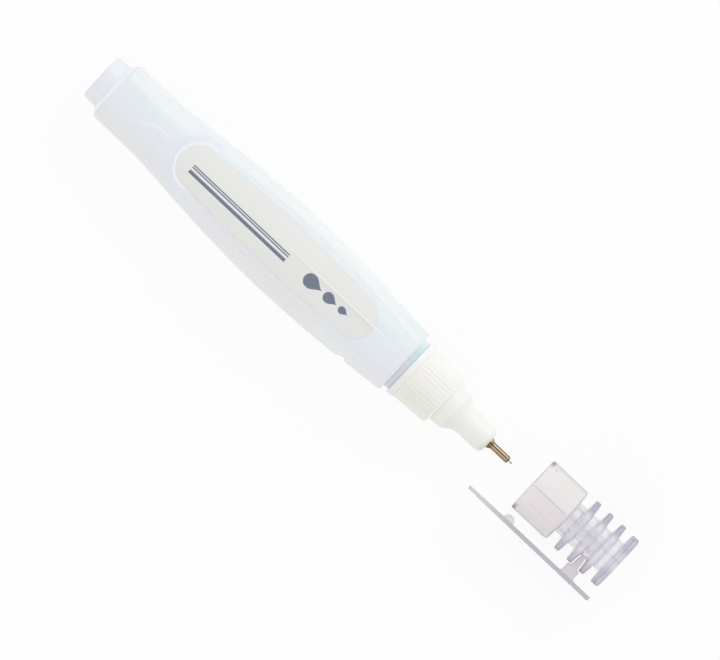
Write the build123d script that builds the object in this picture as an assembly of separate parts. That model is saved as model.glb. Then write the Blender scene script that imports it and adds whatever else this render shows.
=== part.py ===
from build123d import *
import math
import os

os.makedirs("parts", exist_ok=True)

# Correction pen, millimetres. The pen's axis runs along X, tail at -X, tip at +X, and the
# label faces +Z. Places along the axis count from the bottle's front shoulder (x = 0).

# Fits
running_gap = 0.06
press_gap = 0.01
seat_gap = 0.05
free_gap = 0.3
swing_room = 0.4

# Edge roundings
small_round = 0.2
soft_round = 0.4
root_round = 0.3

# Needle valve, from the wire outwards
pin_radius = 0.22
pin_ball_radius = 0.28
pin_reach = 1.0
stem_radius = 0.45
flow_gap = 0.17
orifice_gap = 0.08
orifice_length = 0.8
valve_cone_length = 0.6
tube_wall = 0.28
tube_length = 6.1
tube_bevel = 0.3
shank_step = 0.35
flare_step = 0.13
flare_rim = 0.25
flare_length = 1.4
flare_sweep = 0.8
head_length = 0.7
pilot_length = 1.0
pilot_gap = 0.35

# Coil spring and its slotted seat
wire_radius = 0.15
coil_radius = 1.4
coil_turns = 6.5
coil_length = 5.2
coil_room = 0.65
seat_ledge = 0.8
seat_length = 2.4
seat_slot_width = 1.0
seat_slot_count = 4

# Nozzle
spigot_wall = 0.94
spigot_length = 2.2
snout_wall = 1.25
snout_length = 8.2
snout_round = 1.6
nozzle_base_length = 3.2
nozzle_slope_length = 2.5
slope_sweep = 4.0
nozzle_flange_length = 1.35
tip_hole_length = 5.6
lip_grip = 0.4

# Bottle neck, gasket and screw thread
band_length = 1.45
band_drop = 0.7
band_root = 0.6
neck_wall = 1.2
neck_lead = 1.8
gasket_thickness = 0.7
thread_pitch = 2.5
thread_height = 0.6
thread_root_width = 1.0
thread_crest_width = 0.55
thread_inset = 1.2
thread_sink = 0.15
neck_thread_turns = 2.0
collar_thread_turns = 1.5

# Collar
collar_wall = 0.8
collar_taper = 0.46
flange_step = 0.34
flange_length = 1.7
rim_length = 0.5
rim_drop = 0.15
lip_length = 1.3
rib_count = 42
rib_depth = 0.25
rib_groove_width = 0.5

# Bottle: half sizes across (y) and up (z) at the tail, the belly and the front
bottle_length = 92.2
tail_half_width = 7.9
belly_half_width = 10.6
front_half_width = 8.5
tail_panel_half = 4.6
belly_panel_half = 8.5
front_panel_half = 5.4
floor_gap = 0.3
tail_step = 1.0
waist_from_tail = 15.2
waist_softness = 0.05
belly_from_tail = 56.0
height_rise = 18.0
tail_bevel = 1.5
tail_rim_margin = 0.1
tail_rim_panel_half = 1.5
front_round = 1.2
front_drop = 0.7
panel_edge_round = 1.6
panel_skim = 0.08
bottle_wall = 1.2
tail_wall = 2.4
notch_from_front = 11.3
notch_radius = 1.6
notch_depth = 0.6

# Tail plug
stub_radius = 6.05
stub_length = 3.8
stub_round = 0.8
plug_ledge = 1.1
plug_spigot_length = 7.0
plug_wall = 1.2

# Label
label_length = 59.8
label_half_width = 6.1
label_end_half_width = 5.3
label_from_front = 10.4
label_thickness = 0.12
recess_depth = 0.2
recess_margin = 0.25
recess_tail_margin = 1.6

# Cap
cap_standoff = 27.7
skirt_wall = 1.74
skirt_length = 11.0
skirt_end_wall = 1.2
skirt_round = 0.8
core_room = 0.25
core_wall = 0.65
tip_room = 1.0
fin_gap = 3.2
fin_pitch = 3.9
fin_depth = 3.0
fin_tip_thickness = 1.3
fin_root_thickness = 2.1
fin_count = 3
disc_gap = 2.9
disc_depth = 2.85
disc_thickness = 2.1
disc_round = 0.6
disc_groove = 0.15
disc_groove_place = 0.9

# Pocket clip
clip_gap = 2.85
clip_length = 37.7
clip_overhang = 0.5
clip_thickness = 1.05
clip_half_width = 2.5
clip_free_round = 1.6
clip_end_round = 0.6
bridge_width = 3.4
bridge_flare = 0.5
bump_radius = 1.4
bump_from_free_end = 11.9

# Mixing ball
ball_radius = 2.5
ball_from_front = 24.0

# Radii that follow, from the needle outwards
orifice_radius = pin_ball_radius + orifice_gap
bore_radius = stem_radius + flow_gap
tube_radius = bore_radius + tube_wall
shank_radius = tube_radius + shank_step
flare_radius = shank_radius + flare_step
pilot_radius = coil_radius - wire_radius - pilot_gap
head_radius = coil_radius + wire_radius
spring_room_radius = coil_radius + wire_radius + coil_room
snout_radius = spring_room_radius + snout_wall
seat_pocket_radius = spring_room_radius + seat_ledge
spigot_radius = seat_pocket_radius + spigot_wall
neck_bore_radius = spigot_radius + running_gap
neck_radius = neck_bore_radius + neck_wall
collar_bore_radius = neck_radius + thread_height + free_gap
nozzle_flange_radius = collar_bore_radius - free_gap
nozzle_base_radius = nozzle_flange_radius - lip_grip
ribbed_front_radius = collar_bore_radius + collar_wall
ribbed_rear_radius = ribbed_front_radius + collar_taper
flange_radius = ribbed_rear_radius + flange_step
band_radius = flange_radius - band_drop
skirt_bore_radius = nozzle_base_radius + running_gap
skirt_radius = skirt_bore_radius + skirt_wall
core_bore_radius = snout_radius + core_room
core_radius = core_bore_radius + core_wall
fin_radius = core_radius + fin_depth
disc_radius = core_radius + disc_depth
tip_bore_radius = flare_radius + tip_room
plug_spigot_radius = stub_radius - plug_ledge
panel_half_height = flange_radius + floor_gap
tail_half_height = stub_radius + tail_step
clip_inner = skirt_radius + clip_gap
clip_outer = clip_inner + clip_thickness
clip_foot_radius = (fin_pitch - fin_root_thickness) / 2 - swing_room

# Places along the axis that follow, from the tail to the cap's end
tail_end = -bottle_length
collar_start = band_length + seat_gap
thread_start = collar_start + thread_inset
neck_end = thread_start + thread_pitch * neck_thread_turns + neck_lead
gasket_front = neck_end + gasket_thickness
nozzle_flange_front = gasket_front + nozzle_flange_length
lip_back = nozzle_flange_front + seat_gap
collar_front = lip_back + lip_length
nozzle_base_end = collar_front + nozzle_base_length
snout_start = nozzle_base_end + nozzle_slope_length
snout_end = snout_start + snout_length
tip_hole_start = snout_end - tip_hole_length
tube_end = snout_end + tube_length
needle_tip = tube_end + pin_reach
valve_cone_start = tube_end - orifice_length - valve_cone_length
head_front = tip_hole_start - free_gap
head_back = head_front - head_length
seat_front = head_back - coil_length
cap_mouth = collar_front + cap_standoff
skirt_end = cap_mouth + skirt_length
first_fin = skirt_end + fin_gap
disc_start = first_fin + fin_pitch * (fin_count - 1) + disc_gap
cap_end = disc_start + disc_thickness
clip_end = cap_end + clip_overhang
clip_start = clip_end - clip_length
bridge_x = first_fin + fin_pitch * (fin_count - 1.5)


def outlined(points):
    """Face inside a closed outline through corners (u, v) or (u, v, rounding)."""
    corners = []
    for i, point in enumerate(points):
        here = Vector(*point[:2])
        rounding = point[2] if len(point) > 2 else 0
        if not rounding:
            corners.append((here, None, here))
            continue
        back = (Vector(*points[i - 1][:2]) - here).normalized()
        ahead = (Vector(*points[(i + 1) % len(points)][:2]) - here).normalized()
        half_angle = math.radians(back.get_angle(ahead)) / 2
        reach = rounding / math.tan(half_angle)
        inward = (back + ahead).normalized()
        middle = here + inward * rounding * (1 / math.sin(half_angle) - 1)
        corners.append((here + back * reach, middle, here + ahead * reach))
    edges = []
    for i, (start, middle, end) in enumerate(corners):
        if middle is not None:
            edges.append(ThreePointArc(start, middle, end))
        following = corners[(i + 1) % len(corners)][0]
        edges.append(Line(end, following))
    return make_face(edges)


def turned(*points):
    """Solid turned about the pen's axis from (x, radius) corners."""
    return revolve(outlined(points), Axis.X)


def rod(start, end, radius):
    return turned((start, 0), (start, radius), (end, radius), (end, 0))


def across(x):
    """Plane across the pen at x, its own axes along Y and Z."""
    return Plane((x, 0, 0), x_dir=(0, 1, 0), z_dir=(1, 0, 0))


def between(share, first, last):
    return first + (last - first) * share


def bottle_sizes(from_tail):
    """Half width, half panel width and half height of the bottle at a place."""
    if from_tail <= belly_from_tail:
        share = (from_tail - waist_from_tail) / (belly_from_tail - waist_from_tail)
        softened = (share + math.sqrt(share**2 + waist_softness**2)) / 2
        swell = math.sin(softened * math.pi / 2)
        narrow_width, narrow_panel = tail_half_width, tail_panel_half
    else:
        share = (from_tail - belly_from_tail) / (bottle_length - belly_from_tail)
        swell = math.cos(share * math.pi / 2)
        narrow_width, narrow_panel = front_half_width, front_panel_half
    rise = math.sin(min(1.0, from_tail / height_rise) * math.pi / 2)
    width = between(swell, narrow_width, belly_half_width)
    panel = between(swell, narrow_panel, belly_panel_half)
    height = between(rise, tail_half_height, panel_half_height + panel_skim)
    return width, panel, height


def bottle_section(x, width, panel, height, edge_round=panel_edge_round):
    """Flat panels above and below, one arc on each side, rounded panel edges."""
    bow = width - panel
    side_radius = (height**2 + bow**2) / (2 * bow)
    side_centre = width - side_radius
    lift = height - edge_round
    corner = side_centre + math.sqrt((side_radius - edge_round) ** 2 - lift**2)
    angle = math.atan2(lift, corner - side_centre)
    half_way = (angle + math.pi / 2) / 2
    edge = Vector(corner, height)
    bend = Vector(corner + edge_round * math.cos(half_way), lift + edge_round * math.sin(half_way))
    touch = Vector(side_centre + side_radius * math.cos(angle), side_radius * math.sin(angle))
    half = [
        ThreePointArc(edge, bend, touch),
        ThreePointArc(touch, (width, 0), (touch.X, -touch.Y)),
        ThreePointArc((touch.X, -touch.Y), (bend.X, -bend.Y), (edge.X, -edge.Y)),
    ]
    panels = [Line((-corner, level), (corner, level)) for level in (height, -height)]
    return across(x) * make_face(half + [mirror(arc, Plane.YZ) for arc in half] + panels)


def bottle_form(stations, inset, edge_round):
    """Loft through the bottle's sections, each drawn in by an inset."""
    sections = []
    for from_tail in stations:
        width, panel, height = (size - inset for size in bottle_sizes(from_tail))
        sections.append(bottle_section(tail_end + from_tail, width, panel, height, edge_round))
    return loft(sections)


def bottle_stations(first, last):
    """Places along the bottle for its sections, closer together about the waist."""
    places = [first]
    for share in (0.4, 0.75, 0.9, 1.0):
        places.append(between(share, first, waist_from_tail))
    for share in (0.04, 0.1, 0.25, 0.5, 0.75, 1.0):
        places.append(between(share, waist_from_tail, belly_from_tail))
    for share in (0.3, 0.6, 0.85, 1.0):
        places.append(between(share, belly_from_tail, last))
    return places


def bottle_ends():
    """Bevelled tail end and rounded front end of the bottle."""
    rim = stub_radius + tail_rim_margin
    tail = loft(
        [
            bottle_section(tail_end, rim, tail_rim_panel_half, rim - tail_rim_margin),
            bottle_section(tail_end + tail_bevel, *bottle_sizes(tail_bevel)),
        ],
        ruled=True,
    )
    front_sizes = bottle_sizes(bottle_length - front_round)
    steps = []
    for angle in (0, 30, 60, 90):
        x = front_round * (math.sin(math.radians(angle)) - 1)
        drop = front_drop * (1 - math.cos(math.radians(angle)))
        steps.append(bottle_section(x, *(size - drop for size in front_sizes)))
    return [tail, loft(steps, ruled=True)]


def thread_ridge(radius, height, start, turns):
    """Screw ridge on a round wall: outward for a positive height, else inward."""
    path = Helix(thread_pitch, thread_pitch * turns, radius, (start, 0, 0), (1, 0, 0))
    outward = (path @ 0) - Vector(start, 0, 0)
    sink = -math.copysign(thread_sink, height)
    half_crest = thread_crest_width / 2
    half_root = between(1 + thread_sink / abs(height), half_crest, thread_root_width / 2)
    trapezoid = Polyline(
        (sink, -half_root),
        (height, -half_crest),
        (height, half_crest),
        (sink, half_root),
        close=True,
    )
    plane = Plane(path @ 0, x_dir=outward.normalized(), z_dir=path % 0)
    return sweep(plane * make_face(trapezoid), path=path, is_frenet=True)


def label_outline(margin, tail_margin):
    """Long oval in plan with bowed sides and round ends, larger by the margins."""
    front = margin - label_from_front
    back = front - label_length - margin - tail_margin
    half_end = label_end_half_width + margin
    half_middle = label_half_width + margin
    middle = (front + back) / 2
    bows = []
    for side in (1, -1):
        starts, ends = (back + half_end, side * half_end), (front - half_end, side * half_end)
        bows.append(ThreePointArc(starts, (middle, side * half_middle), ends))
    for tip, inward in ((front, -half_end), (back, half_end)):
        bows.append(ThreePointArc((tip + inward, half_end), (tip, 0), (tip + inward, -half_end)))
    return Pos(0, 0, panel_half_height - recess_depth) * make_face(bows)


def make_bottle():
    body = bottle_form(bottle_stations(tail_bevel, bottle_length - front_round), 0, panel_edge_round)
    body += bottle_ends()
    body &= Box(4 * bottle_length, 4 * belly_half_width, 2 * panel_half_height)
    notch_width = bottle_sizes(bottle_length - notch_from_front)[0]
    for side in (-1, 1):
        notch_y = side * (notch_width + notch_radius - notch_depth)
        body -= Pos(-notch_from_front, notch_y, 0) * Cylinder(notch_radius, 2 * panel_half_height)
    body -= extrude(label_outline(recess_margin, recess_tail_margin), recess_depth)
    # Hollow, then the neck with its band and thread, and the hole for the tail plug
    hollow_places = bottle_stations(tail_wall, bottle_length - bottle_wall)
    body -= bottle_form(hollow_places, bottle_wall, panel_edge_round - root_round)
    body += rod(-band_root, neck_end, neck_radius)
    band_corner = (band_length, band_radius, small_round)
    body += turned((-band_root, 0), (-band_root, band_radius), band_corner, (band_length, 0))
    body += thread_ridge(neck_radius, thread_height, thread_start, neck_thread_turns)
    body -= rod(-2 * bottle_wall, neck_end, neck_bore_radius)
    body -= rod(tail_end, tail_end + 2 * tail_wall, plug_spigot_radius + press_gap)
    return body


def make_tail_plug():
    back = tail_end - stub_length
    front = tail_end + plug_spigot_length
    hollow_radius = plug_spigot_radius - plug_wall
    return turned(
        (back, 0),
        (back, stub_radius, stub_round),
        (tail_end, stub_radius),
        (tail_end, plug_spigot_radius),
        (front, plug_spigot_radius, soft_round),
        (front, hollow_radius),
        (tail_end, hollow_radius),
        (tail_end, 0),
    )


def make_front_label():
    return extrude(label_outline(0, 0), label_thickness)


def make_mixing_ball():
    floor = bottle_wall - panel_half_height
    return Pos(-ball_from_front, 0, floor + ball_radius + free_gap) * Sphere(ball_radius)


def make_neck_gasket():
    return turned(
        (neck_end, neck_bore_radius),
        (gasket_front, neck_bore_radius),
        (gasket_front, neck_radius),
        (neck_end, neck_radius),
    )


def make_collar():
    ribs_back = collar_start + flange_length
    ribs_front = collar_front - rim_length
    rim_radius = ribbed_front_radius - rim_drop
    lip_radius = nozzle_base_radius + running_gap
    ring = turned(
        (collar_start, collar_bore_radius),
        (collar_start, flange_radius, soft_round),
        (ribs_back, flange_radius, soft_round),
        (ribs_back, ribbed_rear_radius),
        (ribs_front, ribbed_front_radius),
        (ribs_front, rim_radius),
        (collar_front, rim_radius, small_round),
        (collar_front, lip_radius),
        (lip_back, lip_radius),
        (lip_back, collar_bore_radius),
    )
    groove_ends = []
    for x, radius in ((ribs_back, ribbed_rear_radius), (ribs_front, ribbed_front_radius)):
        root, rim = radius - rib_depth, radius + rib_depth
        vee = Polyline((root, 0), (rim, -rib_groove_width), (rim, rib_groove_width), close=True)
        groove_ends.append(across(x) * make_face(vee))
    groove = loft(groove_ends, ruled=True)
    # The groove is drawn on the +Y side; a quarter turn and half a pitch put a rib, not a groove, on top
    ring -= [Rot(X=90 + 360 / rib_count * (i + 0.5)) * groove for i in range(rib_count)]
    first_turn = thread_start + thread_pitch / 2
    ring += thread_ridge(collar_bore_radius, -thread_height, first_turn, collar_thread_turns)
    return ring


def make_nozzle():
    spigot_back = neck_end - spigot_length
    hole_radius = shank_radius + press_gap
    return turned(
        (spigot_back, seat_pocket_radius),
        (spigot_back, spigot_radius, small_round),
        (gasket_front, spigot_radius),
        (gasket_front, nozzle_flange_radius),
        (nozzle_flange_front, nozzle_flange_radius),
        (nozzle_flange_front, nozzle_base_radius),
        (nozzle_base_end, nozzle_base_radius, soft_round),
        (snout_start, snout_radius, slope_sweep),
        (snout_end, snout_radius, snout_round),
        (snout_end, hole_radius),
        (tip_hole_start, hole_radius),
        (tip_hole_start, spring_room_radius),
        (seat_front, spring_room_radius),
        (seat_front, seat_pocket_radius),
    )


def make_tip_housing():
    return turned(
        (tip_hole_start, bore_radius),
        (tip_hole_start, shank_radius),
        (snout_end, shank_radius),
        (snout_end, flare_radius),
        (snout_end + flare_rim, flare_radius, flare_step),
        (snout_end + flare_length, tube_radius, flare_sweep),
        (tube_end - tube_bevel, tube_radius),
        (tube_end, tube_radius - tube_bevel),
        (tube_end, orifice_radius),
        (tube_end - orifice_length, orifice_radius),
        (valve_cone_start, bore_radius),
    )


def make_valve_needle():
    ball_centre = needle_tip - pin_ball_radius
    cone_back = valve_cone_start - seat_gap
    slope = valve_cone_length / (bore_radius - orifice_radius)
    cone_front = cone_back + slope * (stem_radius - pin_radius)
    pilot_back = head_back - pilot_length
    needle = turned(
        (pilot_back, 0),
        (pilot_back, pilot_radius, small_round),
        (head_back, pilot_radius),
        (head_back, head_radius),
        (head_front, head_radius),
        (head_front, stem_radius),
        (cone_back, stem_radius),
        (cone_front, pin_radius),
        (ball_centre, pin_radius),
        (ball_centre, 0),
    )
    return needle + Pos(ball_centre, 0, 0) * Sphere(pin_ball_radius)


def coil_path(start, end):
    """Spring line as pairs of tangent arcs, half a turn to each pair."""
    half_turns = round(coil_turns * 2)
    rise = (end - start) / (half_turns * math.pi)
    places, headings = [], []
    for i in range(half_turns + 1):
        cosine, sine = math.cos(math.pi * i), math.sin(math.pi * i)
        places.append(Vector(start + rise * math.pi * i, coil_radius * cosine, coil_radius * sine))
        headings.append(Vector(rise, -coil_radius * sine, coil_radius * cosine).normalized())
    arcs = []
    for here, there, leave, arrive in zip(places, places[1:], headings, headings[1:]):
        chord = there - here
        spread = 2 * (1 - leave.dot(arrive))
        lean = chord.dot(leave + arrive)
        reach = (math.sqrt(lean**2 + spread * chord.dot(chord)) - lean) / spread
        first = here + leave * reach
        second = there - arrive * reach
        joint = (first + second) * 0.5
        arcs.append(TangentArc(here, joint, tangent=leave))
        arcs.append(TangentArc(joint, there, tangent=second - first))
    return Wire(arcs)


def make_needle_spring():
    path = coil_path(seat_front + wire_radius, head_back - wire_radius)
    spots_per_turn = 60
    count = round(spots_per_turn * coil_turns)
    spots = [path @ (i / count) for i in range(count + 1)]
    least = min(
        (spot - other).length - 2 * wire_radius
        for i, spot in enumerate(spots)
        for other in spots[i + spots_per_turn // 2 :]
    )
    print("needle_spring least gap to itself", round(least, 3), "mm")
    return sweep(Plane(path @ 0, z_dir=path % 0) * Circle(wire_radius), path=path)


def make_spring_seat():
    back = seat_front - seat_length
    pilot_front = seat_front + pilot_length
    plug = turned(
        (back, 0),
        (back, seat_pocket_radius - press_gap, small_round),
        (seat_front, seat_pocket_radius - press_gap),
        (seat_front, pilot_radius),
        (pilot_front, pilot_radius, small_round),
        (pilot_front, 0),
    )
    slot_floor = pilot_radius + free_gap
    slot = Pos(back, 0, slot_floor + seat_pocket_radius / 2) * Box(
        4 * seat_length, seat_slot_width, seat_pocket_radius
    )
    return plug - [Rot(X=360 / seat_slot_count * i) * slot for i in range(seat_slot_count)]


def make_cap():
    snout_room_end = snout_end + cap_standoff + 2 * free_gap
    bore_end = needle_tip + cap_standoff + tip_room
    skirt_bore_end = skirt_end - skirt_end_wall
    groove_x = disc_start + disc_groove_place
    points = [
        (cap_mouth, skirt_bore_radius),
        (cap_mouth, skirt_radius, small_round),
        (skirt_end, skirt_radius, skirt_round),
        (skirt_end, core_radius, root_round),
    ]
    for i in range(fin_count):
        middle = first_fin + fin_pitch * i
        points.append((middle - fin_root_thickness / 2, core_radius, root_round))
        points.append((middle - fin_tip_thickness / 2, fin_radius, soft_round))
        points.append((middle + fin_tip_thickness / 2, fin_radius, soft_round))
        points.append((middle + fin_root_thickness / 2, core_radius, root_round))
    points += [
        (disc_start, core_radius, root_round),
        (disc_start, disc_radius, soft_round),
        (groove_x - disc_groove, disc_radius),
        (groove_x, disc_radius - disc_groove),
        (groove_x + disc_groove, disc_radius),
        (cap_end, disc_radius, disc_round),
        (cap_end, 0),
        (bore_end, 0),
        (bore_end, tip_bore_radius, soft_round),
        (snout_room_end, tip_bore_radius),
        (snout_room_end, core_bore_radius, soft_round),
        (skirt_bore_end, core_bore_radius),
        (skirt_bore_end, skirt_bore_radius, soft_round),
    ]
    foot_room = Cylinder(clip_foot_radius + running_gap, 4 * clip_half_width)
    return turned(*points) - Pos(bridge_x, -core_radius, 0) * foot_room


def make_pocket_clip():
    """Clip bar with a bump, and a bridge whose round foot sits in the cap's core."""
    width = 2 * clip_half_width
    plan = outlined(
        [
            (clip_start, -clip_half_width, clip_free_round),
            (clip_end, -clip_half_width, clip_end_round),
            (clip_end, clip_half_width, clip_end_round),
            (clip_start, clip_half_width, clip_free_round),
        ]
    )
    bar = Plane((0, -clip_outer, 0), x_dir=(1, 0, 0), z_dir=(0, 1, 0)) * extrude(plan, clip_thickness)
    half_neck = (fin_pitch - fin_tip_thickness) / 2 - swing_room
    half_bridge = bridge_width / 2
    shoulder = -fin_radius - free_gap
    steps = [
        (clip_foot_radius, -core_radius),
        (half_neck, -fin_radius),
        (half_neck, shoulder),
        (half_bridge, shoulder),
        (half_bridge, bridge_flare - clip_inner),
        (half_bridge + bridge_flare, -clip_inner),
    ]
    points = [(bridge_x - half, y) for half, y in steps]
    points += [(bridge_x + half, y) for half, y in reversed(steps)]
    foot = Pos(bridge_x, -core_radius, 0) * Cylinder(clip_foot_radius, width)
    bump = Pos(clip_start + bump_from_free_end, -clip_inner, 0) * Cylinder(bump_radius, width)
    bump -= Pos(clip_start, -clip_outer - bump_radius, 0) * Box(4 * clip_length, 2 * bump_radius, 2 * width)
    return bar + Pos(0, 0, -clip_half_width) * extrude(outlined(points), width) + foot + bump


# The row's origin is under the middle of the whole object, on the face it lies on.
row_min_x = tail_end - stub_length
row_min_y = -max(belly_half_width, clip_outer)
to_row = Pos(-(row_min_x + clip_end) / 2, -(row_min_y + belly_half_width) / 2, panel_half_height)

makers = {
    "bottle": make_bottle,
    "tail_plug": make_tail_plug,
    "front_label": make_front_label,
    "mixing_ball": make_mixing_ball,
    "neck_gasket": make_neck_gasket,
    "collar": make_collar,
    "nozzle": make_nozzle,
    "tip_housing": make_tip_housing,
    "valve_needle": make_valve_needle,
    "needle_spring": make_needle_spring,
    "spring_seat": make_spring_seat,
    "cap": make_cap,
    "pocket_clip": make_pocket_clip,
}

for name, make in makers.items():
    piece = to_row * make()
    export_step(piece, f"parts/{name}.step")
    print(name, "solids", len(piece.solids()), "volume", round(piece.volume, 2), "mm3")
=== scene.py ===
# %% [markdown]
# # A correction pen, dressed for the studio
# The pen lies on its flat back with the clear cap pulled off in front of it. Its construction comes
# in as a frame of solids, all in metres and already in place. This lesson gives each piece the surface
# that the eye expects: a milky squeeze bottle, a film label, a ribbed collar, a metal tip and a clear cap.

# %% Load the frame
import math

import bmesh
import bpy
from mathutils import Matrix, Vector, noise


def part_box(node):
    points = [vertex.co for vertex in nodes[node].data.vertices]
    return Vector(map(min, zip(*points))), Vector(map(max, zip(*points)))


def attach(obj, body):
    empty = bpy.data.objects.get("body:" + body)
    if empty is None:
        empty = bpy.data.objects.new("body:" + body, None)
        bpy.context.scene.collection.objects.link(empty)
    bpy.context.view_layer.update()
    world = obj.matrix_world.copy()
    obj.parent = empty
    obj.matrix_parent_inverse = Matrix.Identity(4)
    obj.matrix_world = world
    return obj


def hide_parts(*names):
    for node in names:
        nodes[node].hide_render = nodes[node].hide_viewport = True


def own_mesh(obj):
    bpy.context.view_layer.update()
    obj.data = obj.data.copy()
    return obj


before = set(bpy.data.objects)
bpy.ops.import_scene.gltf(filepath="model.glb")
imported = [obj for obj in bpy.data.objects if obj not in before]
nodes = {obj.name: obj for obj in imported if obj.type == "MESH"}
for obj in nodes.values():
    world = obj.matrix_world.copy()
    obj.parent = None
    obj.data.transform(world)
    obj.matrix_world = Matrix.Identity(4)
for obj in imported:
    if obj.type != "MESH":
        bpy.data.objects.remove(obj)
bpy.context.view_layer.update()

print("nodes in the frame:", ", ".join(sorted(nodes)))

# %% [markdown]
# Every size below is either read from the frame or written in millimetres and named. The pen is turned
# about one line, so its axis is the first thing to find: it runs through the middle of the tail plug.
# Places along the pen are counted from the bottle's front shoulder, as its maker would do.

# %% Find the pen's axis
mm = 0.001
neck_length = 9.5 * mm
plug_low, plug_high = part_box("tail_plug")
bottle_low, bottle_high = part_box("bottle")
axis = (plug_low + plug_high) / 2
shoulder_x = bottle_high.x - neck_length
bottle_length = shoulder_x - bottle_low.x
belly_half_width = (bottle_high.y - bottle_low.y) / 2
panel_half_height = (bottle_high.z - bottle_low.z) / 2


def on_pen(x, y, z):
    """A place counted from the front shoulder and the axis, in the frame's own coordinates."""
    return Vector((shoulder_x + x, axis.y + y, axis.z + z))


print("bottle length", round(bottle_length / mm, 2), "mm, shoulder at", round(shoulder_x / mm, 2))

# %% [markdown]
# Shaders are small sums, and a page of node calls hides them. This class holds one output socket and
# turns `a * b + 1` into Math nodes. Its one other method, `add`, makes any node: settings first, then
# the values or links of the sockets. Colours never go through Math, which would turn them grey.

# %% A socket that can be reckoned with
class Wire:
    """One output of a material's nodes."""

    def __init__(self, tree, socket=None):
        self.tree = tree
        self.socket = socket

    def add(self, kind, settings=(), inputs=(), out=0):
        node = self.tree.nodes.new(kind)
        for name, value in dict(settings).items():
            if name == "stops":
                ramp = node.color_ramp
                while len(ramp.elements) < len(value):
                    ramp.elements.new(1.0)
                for element, (place, colour) in zip(ramp.elements, value):
                    element.position = place
                    element.color = colour
            else:
                setattr(node, name, value)
        for name, value in dict(inputs).items():
            if isinstance(value, Wire):
                self.tree.links.new(value.socket, node.inputs[name])
            else:
                node.inputs[name].default_value = value
        return Wire(self.tree, node.outputs[out])

    def maths(self, operation, first, second=0.0):
        return self.add("ShaderNodeMath", {"operation": operation}, {0: first, 1: second})

    def __add__(self, other):
        return self.maths("ADD", self, other)

    def __radd__(self, other):
        return self.maths("ADD", other, self)

    def __sub__(self, other):
        return self.maths("SUBTRACT", self, other)

    def __rsub__(self, other):
        return self.maths("SUBTRACT", other, self)

    def __mul__(self, other):
        return self.maths("MULTIPLY", self, other)

    def __rmul__(self, other):
        return self.maths("MULTIPLY", other, self)

    def __truediv__(self, other):
        return self.maths("DIVIDE", self, other)

    def __rtruediv__(self, other):
        return self.maths("DIVIDE", other, self)

    def __pow__(self, other):
        return self.maths("POWER", self, other)

    def __neg__(self):
        return self.maths("MULTIPLY", self, -1.0)

    def __abs__(self):
        return self.maths("ABSOLUTE", self)


print("shader maths ready")

# %% [markdown]
# A few words are used by every finish: `mix` for colours, `step` for a soft edge between two values,
# `span` for a stretch with two soft edges, `cloud` for uneven patches. All are measured in millimetres
# on the piece itself, so a pattern stays on its piece when the piece moves.

# %% Words for finishes
def rgb(red, green, blue):
    return (red, green, blue, 1.0)


def mix(mask, first, second):
    """Colour that goes from the first to the second as the mask goes from 0 to 1."""
    return mask.add("ShaderNodeMix", {"data_type": "RGBA"}, {0: mask, 6: first, 7: second}, out=2)


def step(value, low, high):
    """0 below low, 1 above high and a soft slope between."""
    return value.add(
        "ShaderNodeMapRange",
        {"interpolation_type": "SMOOTHSTEP", "clamp": True},
        {"Value": value, "From Min": low, "From Max": high, "To Min": 0.0, "To Max": 1.0},
    )


def span(value, rise_low, rise_high, fall_low, fall_high):
    """0, then a soft rise to 1, then a soft fall back to 0."""
    return step(value, rise_low, rise_high) * (1 - step(value, fall_low, fall_high))


def stretched(place, x, y, z):
    return place.add("ShaderNodeVectorMath", {"operation": "MULTIPLY"}, {0: place, 1: (x, y, z)})


def cloud(place, size, detail=2.0, roughness=0.5):
    """Uneven patches from 0 to 1, about as large as the size in millimetres."""
    inputs = {"Vector": place, "Scale": 1.0 / size, "Detail": detail, "Roughness": roughness}
    return place.add("ShaderNodeTexNoise", {}, inputs)


def bump(height, depth_mm, strength=1.0):
    inputs = {"Height": height, "Distance": depth_mm * mm, "Strength": strength}
    return height.add("ShaderNodeBump", {}, inputs)


def new_finish(name, constants):
    """A material, its shader, and the place on the piece in millimetres from the shoulder."""
    material = bpy.data.materials.new(name)
    material.use_nodes = True
    shader = material.node_tree.nodes["Principled BSDF"]
    for socket, value in constants.items():
        shader.inputs[socket].default_value = value
    place = Wire(material.node_tree).add("ShaderNodeTexCoord", out="Object")
    moved = place.add("ShaderNodeVectorMath", {"operation": "SUBTRACT"}, {0: place, 1: on_pen(0, 0, 0)})
    place_mm = place.add("ShaderNodeVectorMath", {"operation": "SCALE"}, {0: moved, "Scale": 1 / mm})
    return material, shader, place_mm


def feed(shader, **links):
    """Links a finish's varying values to the shader's sockets."""
    tree = shader.id_data
    for name, wire in links.items():
        tree.links.new(wire.socket, shader.inputs[name.replace("_", " ").title()])


def parts_of(place):
    """The three numbers of a place."""
    split = place.add("ShaderNodeSeparateXYZ", {}, {0: place})
    node = split.socket.node
    return [Wire(place.tree, node.outputs[i]) for i in range(3)]


print("finish words ready")
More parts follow.
